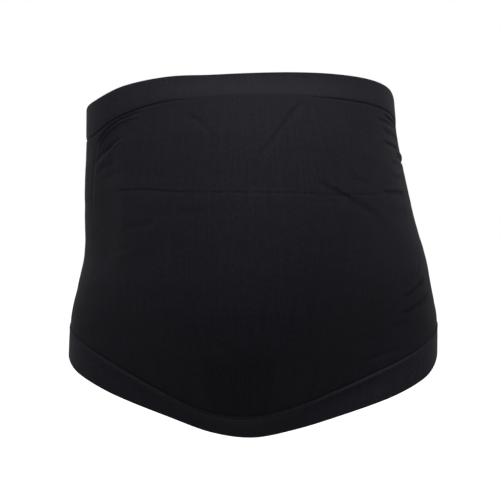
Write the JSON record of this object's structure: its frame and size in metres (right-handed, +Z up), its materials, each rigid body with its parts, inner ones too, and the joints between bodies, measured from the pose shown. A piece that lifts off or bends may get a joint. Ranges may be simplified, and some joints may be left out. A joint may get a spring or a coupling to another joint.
{
  "type": "maternity support band",
  "caption": "Seamless knitted tube for a pregnant belly, with a doubled band at rim and hem, gathered flanks and a ribbed zone under the belly.",
  "frame": {"origin": "middle of the wearer's body inside the tube, at the height of the hem at the hips", "axes": "+Z up along the wearer's body, -Y out of the belly, +X to the wearer's left"},
  "size_m": [0.3691, 0.2897, 0.3528],
  "materials": {
    "plain_knit": "matt black plain stretch knit with a faint sheen",
    "band_knit": "matt black doubled stretch knit, smoother and a little lighter",
    "rib_knit": "matt black fine upright rib knit"
  },
  "bodies": {
    "root": {"body_tube": "plain_knit", "top_band": "band_knit", "bottom_band": "band_knit", "under_belly_rib_panel": "rib_knit"}
  },
  "joints": []
}
